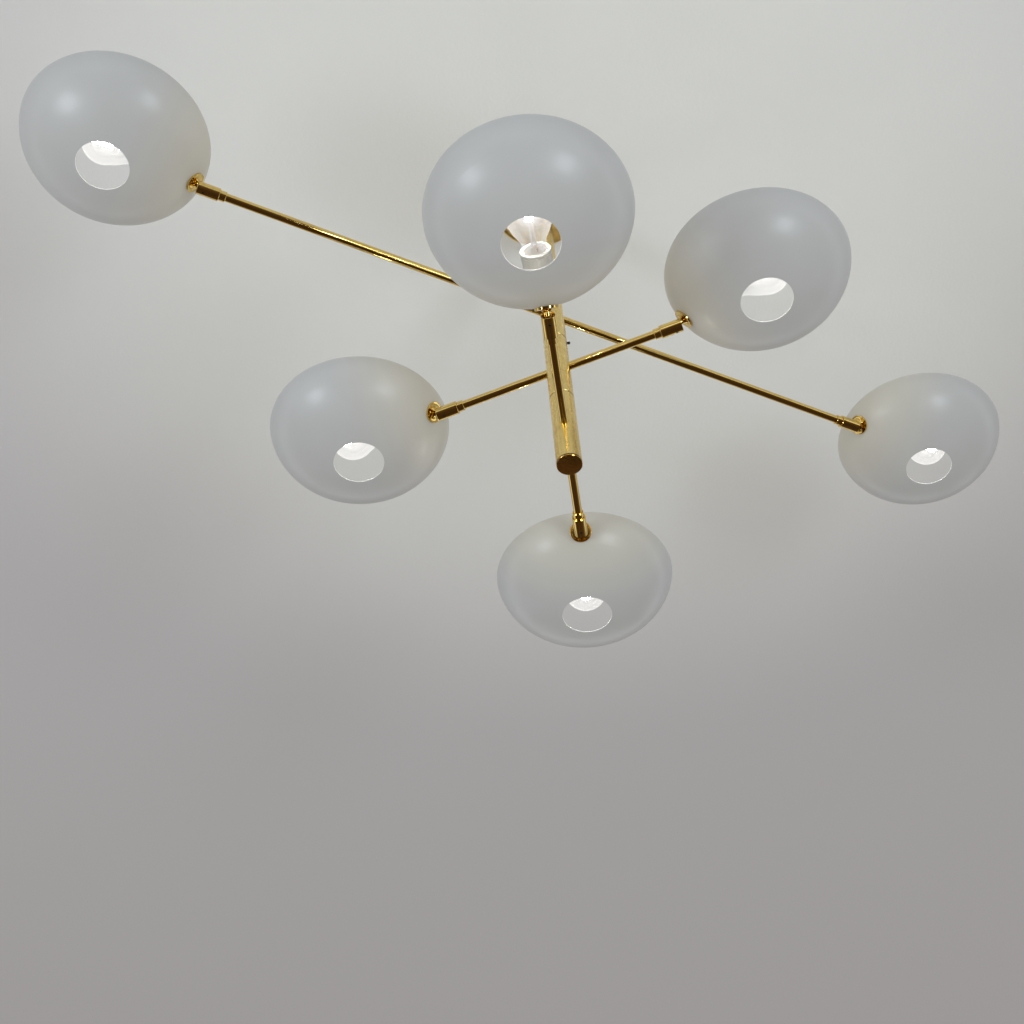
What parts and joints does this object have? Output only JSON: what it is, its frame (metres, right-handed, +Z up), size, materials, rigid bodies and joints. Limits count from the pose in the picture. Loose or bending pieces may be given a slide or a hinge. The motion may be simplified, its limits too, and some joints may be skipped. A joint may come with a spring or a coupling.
{
  "type": "sputnik chandelier",
  "caption": "Brass ceiling chandelier: a stem of turning segments carries crossed straight arms, with a swivelling open reflector bowl, lampholder and bulb at each end.",
  "frame": {"origin": "on the ceiling plane, on the stem's axis, midway between the two fixing holes", "axes": "+Z up along the stem into the ceiling, +X to the right and -Y towards someone who looks at it as in the picture"},
  "size_m": [1.3779, 0.8416, 0.6803],
  "materials": {
    "brushed_brass": "finely brushed along its length, clear lacquered",
    "polished_brass": "polished, clear lacquered",
    "zinc_steel": "zinc plated",
    "black_steel": "black oxide",
    "bowl_lacquer": "satin pale grey lacquer, inside and outside",
    "white_holder": "satin white",
    "bulb_glass": "clear, lit"
  },
  "bodies": {
    "ceiling_mount": {"ceiling_strap": "zinc_steel", "hanging_nipple": "zinc_steel", "strap_nut": "zinc_steel", "canopy": "brushed_brass", "drop_tube": "brushed_brass"},
    "upper_arm": {"segment_1": "brushed_brass", "lock_screw_1": "black_steel", "arm_1": "polished_brass", "arm_collars_1": "polished_brass"},
    "middle_arm": {"segment_2": "brushed_brass", "lock_screw_2": "black_steel", "arm_2": "polished_brass", "arm_collars_2": "polished_brass"},
    "lower_arm": {"segment_3": "brushed_brass", "lock_screw_3": "black_steel", "arm_3": "polished_brass", "arm_collars_3": "polished_brass", "end_cap": "brushed_brass"},
    "sleeve_1_swivel": {"sleeve_1": "polished_brass", "grub_screw_1": "black_steel"},
    "bowl_1_head": {"ball_stud_1": "polished_brass", "bowl_1": "bowl_lacquer", "ring_nut_1": "zinc_steel", "lampholder_1": "white_holder", "bulb_1": "bulb_glass"},
    "sleeve_2_swivel": {"sleeve_2": "polished_brass", "grub_screw_2": "black_steel"},
    "bowl_2_head": {"ball_stud_2": "polished_brass", "bowl_2": "bowl_lacquer", "ring_nut_2": "zinc_steel", "lampholder_2": "white_holder", "bulb_2": "bulb_glass"},
    "sleeve_3_swivel": {"sleeve_3": "polished_brass", "grub_screw_3": "black_steel"},
    "bowl_3_head": {"ball_stud_3": "polished_brass", "bowl_3": "bowl_lacquer", "ring_nut_3": "zinc_steel", "lampholder_3": "white_holder", "bulb_3": "bulb_glass"},
    "sleeve_4_swivel": {"sleeve_4": "polished_brass", "grub_screw_4": "black_steel"},
    "bowl_4_head": {"ball_stud_4": "polished_brass", "bowl_4": "bowl_lacquer", "ring_nut_4": "zinc_steel", "lampholder_4": "white_holder", "bulb_4": "bulb_glass"},
    "sleeve_5_swivel": {"sleeve_5": "polished_brass", "grub_screw_5": "black_steel"},
    "bowl_5_head": {"ball_stud_5": "polished_brass", "bowl_5": "bowl_lacquer", "ring_nut_5": "zinc_steel", "lampholder_5": "white_holder", "bulb_5": "bulb_glass"},
    "sleeve_6_swivel": {"sleeve_6": "polished_brass", "grub_screw_6": "black_steel"},
    "bowl_6_head": {"ball_stud_6": "polished_brass", "bowl_6": "bowl_lacquer", "ring_nut_6": "zinc_steel", "lampholder_6": "white_holder", "bulb_6": "bulb_glass"}
  },
  "joints": [
    {"name": "upper_arm_turn", "type": "hinge", "parent": "ceiling_mount", "child": "upper_arm", "pos_m": [0, 0, -0.2833], "axis": [0, 0, 1], "range_deg": [-170, 170]},
    {"name": "middle_arm_turn", "type": "hinge", "parent": "upper_arm", "child": "middle_arm", "pos_m": [0, 0, -0.4148], "axis": [0, 0, 1], "range_deg": [-85, 10]},
    {"name": "lower_arm_turn", "type": "hinge", "parent": "middle_arm", "child": "lower_arm", "pos_m": [0, 0, -0.5463], "axis": [0, 0, 1], "range_deg": [-30, 10]},
    {"name": "bowl_1_roll", "type": "hinge", "parent": "upper_arm", "child": "sleeve_1_swivel", "pos_m": [-0.45246, -0.23856, -0.3489], "axis": [-0.8846, -0.4664, 0], "range_deg": [-170, 170]},
    {"name": "bowl_1_tilt", "type": "hinge", "parent": "sleeve_1_swivel", "child": "bowl_1_head", "pos_m": [-0.45246, -0.23856, -0.3489], "axis": [-0.4662, 0.8842, 0.0298], "range_deg": [-45.8, 34.2]},
    {"name": "bowl_2_roll", "type": "hinge", "parent": "lower_arm", "child": "sleeve_2_swivel", "pos_m": [-0.0146, -0.16682, -0.6081], "axis": [-0.0871, -0.9959, 0.0227], "range_deg": [-170, 170]},
    {"name": "bowl_2_tilt", "type": "hinge", "parent": "sleeve_2_swivel", "child": "bowl_2_head", "pos_m": [-0.0146, -0.16682, -0.6081], "axis": [-0.9949, 0.0858, -0.0539], "range_deg": [-45.1, 34.9]},
    {"name": "bowl_3_roll", "type": "hinge", "parent": "middle_arm", "child": "sleeve_3_swivel", "pos_m": [0.16011, -0.04652, -0.46435], "axis": [0.9559, -0.2777, 0.0958], "range_deg": [-170, 170]},
    {"name": "bowl_3_tilt", "type": "hinge", "parent": "sleeve_3_swivel", "child": "bowl_3_head", "pos_m": [0.16011, -0.04652, -0.46435], "axis": [-0.2319, -0.9135, -0.3343], "range_deg": [-39.5, 40.5]},
    {"name": "bowl_4_roll", "type": "hinge", "parent": "middle_arm", "child": "sleeve_4_swivel", "pos_m": [-0.16011, 0.04652, -0.49645], "axis": [-0.9559, 0.2777, -0.0958], "range_deg": [-170, 170]},
    {"name": "bowl_4_tilt", "type": "hinge", "parent": "sleeve_4_swivel", "child": "bowl_4_head", "pos_m": [-0.16011, 0.04652, -0.49645], "axis": [0.2864, 0.9535, -0.0937], "range_deg": [-47.9, 32.1]},
    {"name": "bowl_5_roll", "type": "hinge", "parent": "lower_arm", "child": "sleeve_5_swivel", "pos_m": [0.0146, 0.16682, -0.6157], "axis": [0.0871, 0.9959, -0.0227], "range_deg": [-170, 170]},
    {"name": "bowl_5_tilt", "type": "hinge", "parent": "sleeve_5_swivel", "child": "bowl_5_head", "pos_m": [0.0146, 0.16682, -0.6157], "axis": [0.9953, -0.0861, 0.0445], "range_deg": [-45.4, 34.6]},
    {"name": "bowl_6_roll", "type": "hinge", "parent": "upper_arm", "child": "sleeve_6_swivel", "pos_m": [0.45246, 0.23856, -0.3489], "axis": [0.8846, 0.4664, 0], "range_deg": [-170, 170]},
    {"name": "bowl_6_tilt", "type": "hinge", "parent": "sleeve_6_swivel", "child": "bowl_6_head", "pos_m": [0.45246, 0.23856, -0.3489], "axis": [0.4658, -0.8834, -0.052], "range_deg": [-40, 40]}
  ]
}
